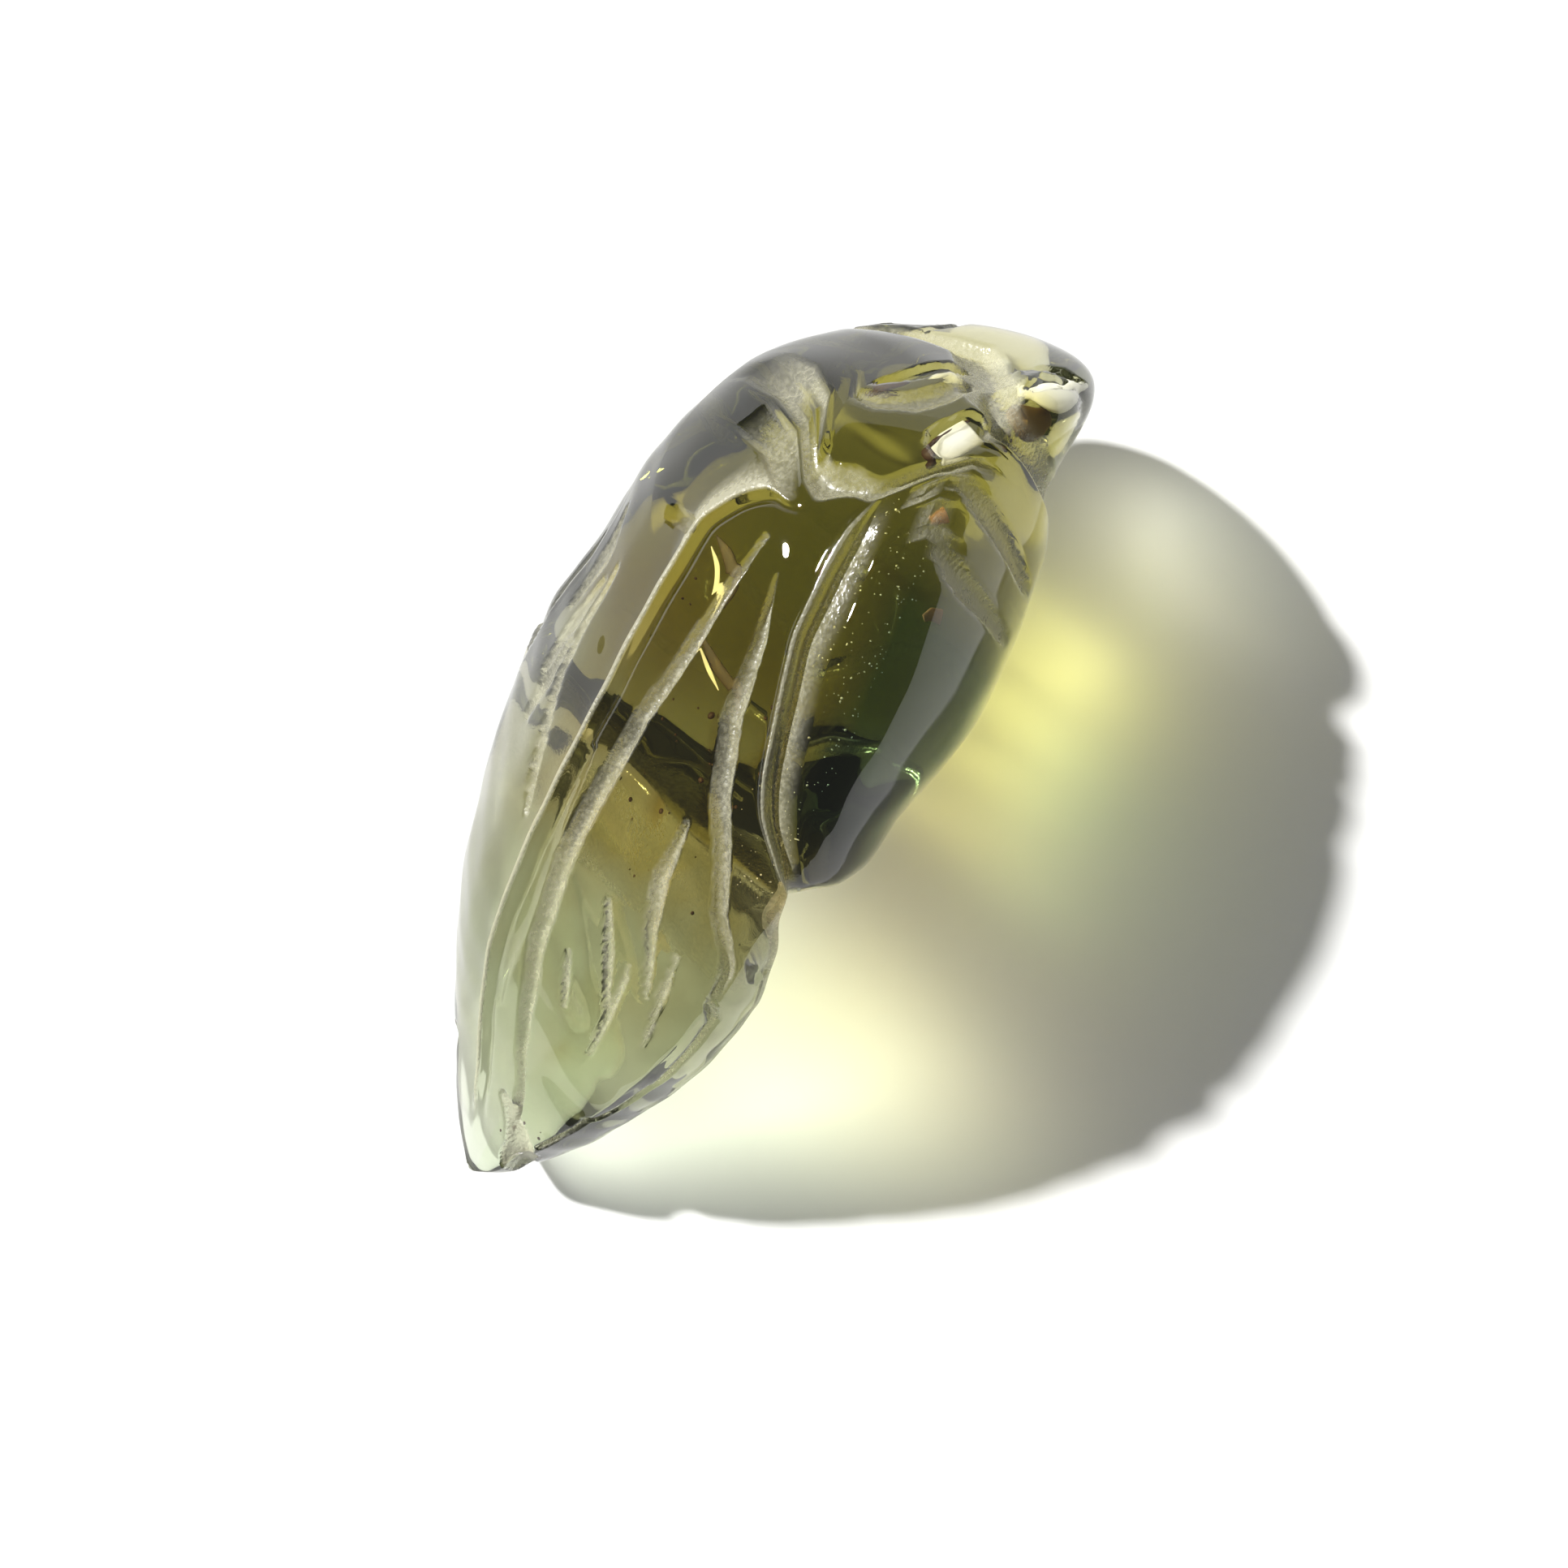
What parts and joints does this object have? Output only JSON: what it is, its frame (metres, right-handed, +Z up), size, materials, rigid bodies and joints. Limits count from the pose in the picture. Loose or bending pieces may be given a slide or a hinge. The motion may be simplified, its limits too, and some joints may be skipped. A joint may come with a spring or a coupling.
{
  "type": "carved crystal cicada",
  "caption": "Cicada carved from one see-through olive-gold citrine, wings folded roof-like over the back with frosted matt grooves, lying on its left side on a small ground flat",
  "frame": {"origin": "middle of the bounding box in plan, at the resting plane", "axes": "+X from tail to head, level; +Z up, the carving lying on its left side; +Y completes the right-handed frame, towards the cicada's back"},
  "size_m": [0.0624, 0.025, 0.0233],
  "materials": {
    "citrine": "polished with frosted carved grooves"
  },
  "bodies": {
    "root": {"cicada_carving": "citrine"}
  },
  "joints": []
}
